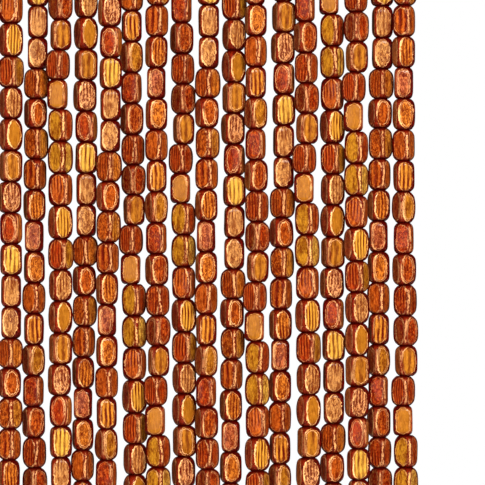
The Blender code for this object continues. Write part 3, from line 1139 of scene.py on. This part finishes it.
def lath_piece(name):
    """The lath that caps the slat."""
    low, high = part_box("heading_lath")
    bottom = Vector((low.x / MM, low.y / MM, SLAT_HIGH.z + CLOSE_GAP))
    lath = rounded_box(name, bottom, Vector(high) / MM, LATH_ROUND)
    apply_modifiers(lath)
    return lath


def settle(piece, material, node):
    piece.data.materials.append(material)
    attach(piece, "root")
    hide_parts(node)


def build_curtain():
    bead_wood = bead_material()
    string = string_material()
    heading_wood = heading_material()
    for index in range(len(STRANDS)):
        beads = beads_of(index)
        settle(beads_piece(f"beads_{index + 1:02d}", beads), bead_wood, "bead_strands")
        settle(string_piece(f"string_{index + 1:02d}", index, beads), string, "bead_strands")
    settle(slat_piece("drilled_slat"), heading_wood, "bead_strands")
    settle(lath_piece("capping_lath"), heading_wood, "heading_lath")


# The photograph's frame, at the real scale: its width, and its middle to the right of the curtain's own.
VIEW_WIDTH = 219.0
VIEW_X = 15.6
CAMERA_DISTANCE = 1500.0
SENSOR = 36.0
CLIP_NEAR = 50.0
CLIP_FAR = 20000.0

# Soft lamps that face the curtain's middle, with distance and size in metres and power in watts. Azimuth 0 is
# in front of the curtain and 90 to its right. mirrored says whether the lacquer shows the lamp.
Lamp = namedtuple("Lamp", "name azimuth elevation distance size power colour mirrored")
LAMPS = (
    Lamp("key", 13, 26, 1.4, (0.30, 0.55), 27.6, (1.0, 0.92, 0.80), True),
    Lamp("fill", -14, 5, 1.8, (0.8, 0.8), 10.0, (1.0, 0.92, 0.84), True),
    Lamp("rear", 178, 22, 1.6, (0.7, 0.7), 22.0, (1.0, 0.94, 0.86), False),
)

# The surround: the colour of its light, and how strong that is in front and behind, by the direction's Y.
AMBIENT_COLOUR = (1.0, 0.93, 0.86)
AMBIENT_FADE = {"From Min": -0.6, "From Max": 0.5, "To Min": 0.42, "To Max": 0.12}

# What mirrored rays and the camera's own rays see of the surround instead: colour and strength.
SURROUND_FOR = {
    "Is Glossy Ray": ((1.0, 0.55, 0.38), 0.05),
    "Is Camera Ray": ((1.0, 1.0, 1.0), 1.0),
}

FLOOR_Z = -450.0
FLOOR_RADIUS = 500.0
FLOOR_SEGMENTS = 96
FLOOR_COLOUR = (0.85, 0.84, 0.82)
FLOOR_ROUGHNESS = 0.8


def add_camera():
    data = bpy.data.cameras.new("camera")
    data.sensor_width = SENSOR
    data.lens = SENSOR * CAMERA_DISTANCE / VIEW_WIDTH
    data.clip_start = CLIP_NEAR * MM
    data.clip_end = CLIP_FAR * MM
    camera = object_of("camera", data)
    camera.location = Vector((VIEW_X, -CAMERA_DISTANCE, MIDDLE_Z)) * MM
    camera.rotation_euler = (math.pi / 2, 0, 0)
    bpy.context.scene.camera = camera


def add_lamp(lamp):
    data = bpy.data.lights.new(lamp.name, "AREA")
    data.shape = "RECTANGLE"
    data.size, data.size_y = lamp.size
    data.energy = lamp.power
    data.color = lamp.colour
    light = object_of(lamp.name, data)
    a, e = math.radians(lamp.azimuth), math.radians(lamp.elevation)
    back = Vector((math.sin(a) * math.cos(e), -math.cos(a) * math.cos(e), math.sin(e)))
    light.location = Vector((0, 0, MIDDLE_Z * MM)) + back * lamp.distance
    light.rotation_mode = "QUATERNION"
    light.rotation_quaternion = back.to_track_quat("Z", "Y")
    light.visible_glossy = lamp.mirrored


def add_world():
    """A white surround whose soft light on the curtain is strongest from the front, where -Y is."""
    n = Nodes(bpy.data.worlds.new("studio"))
    bpy.context.scene.world = n.owner
    n.tree.nodes.clear()
    place = n.add("ShaderNodeTexCoord", {})
    split = n.add("ShaderNodeSeparateXYZ", {0: place.outputs["Generated"]})
    fade = n.add("ShaderNodeMapRange", {"Value": split.outputs["Y"], **AMBIENT_FADE})
    ambient = n.add("ShaderNodeBackground", {"Color": AMBIENT_COLOUR, "Strength": fade.outputs["Result"]})
    shown = ambient.outputs[0]
    path = n.add("ShaderNodeLightPath", {})
    for ray, (colour, strength) in SURROUND_FOR.items():
        background = n.add("ShaderNodeBackground", {"Color": colour, "Strength": strength})
        choose = n.add("ShaderNodeMixShader", {0: path.outputs[ray], 1: shown, 2: background.outputs[0]})
        shown = choose.outputs[0]
    n.add("ShaderNodeOutputWorld", {"Surface": shown})


def add_floor():
    shape = bmesh.new()
    bmesh.ops.create_circle(shape, cap_ends=True, radius=FLOOR_RADIUS * MM, segments=FLOOR_SEGMENTS)
    bmesh.ops.translate(shape, vec=Vector((0, 0, FLOOR_Z * MM)), verts=shape.verts)
    floor = object_from(shape, "floor")
    n = Nodes(bpy.data.materials.new("pale floor"))
    shader = n.tree.nodes["Principled BSDF"]
    n.put(shader.inputs["Base Color"], FLOOR_COLOUR)
    n.put(shader.inputs["Roughness"], FLOOR_ROUGHNESS)
    floor.data.materials.append(n.owner)


add_camera()
build_curtain()
for lamp in LAMPS:
    add_lamp(lamp)
add_world()
add_floor()
bpy.context.scene.view_settings.view_transform = "Standard"
